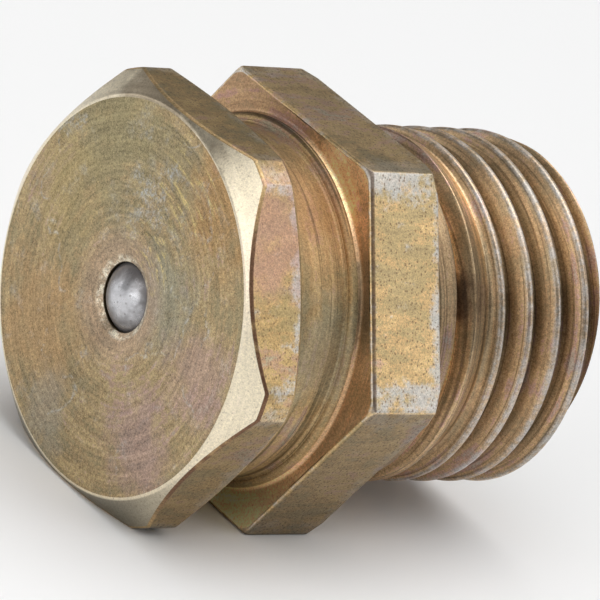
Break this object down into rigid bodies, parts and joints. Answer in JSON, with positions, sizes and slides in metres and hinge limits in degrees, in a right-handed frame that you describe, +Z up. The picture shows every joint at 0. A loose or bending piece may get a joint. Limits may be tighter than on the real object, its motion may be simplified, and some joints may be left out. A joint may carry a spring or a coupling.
{
  "type": "flat grease nipple",
  "caption": "Flat button-head grease nipple: bevelled hexagonal coupler head, neck groove, spanner hexagon and straight M10 x 1 thread, with a sprung check ball in the grease hole.",
  "frame": {"origin": "on the thread axis, in the plane of the seat face at the back of the spanner hexagon", "axes": "+X along the thread axis from the head towards the threaded end, +Z up, square to the hexagon flat that lies on top; the nipple lies on the opposite flats of its head and its hexagon"},
  "size_m": [0.0131, 0.0128, 0.011],
  "materials": {
    "plated_steel": "yellow-passivated zinc plate, satin",
    "ball_steel": "polished hardened steel",
    "spring_steel": "drawn spring wire"
  },
  "bodies": {
    "body": {"nipple_body": "plated_steel", "ball_spring": "spring_steel"},
    "ball": {"check_ball": "ball_steel"}
  },
  "joints": [
    {"name": "ball_slide", "type": "slide", "parent": "body", "child": "ball", "axis": [1, 0, 0], "range_m": [0, 0.0012], "stiffness_N_per_m": 1150, "springref_m": -0.00035, "deforming": ["ball_spring"]}
  ]
}
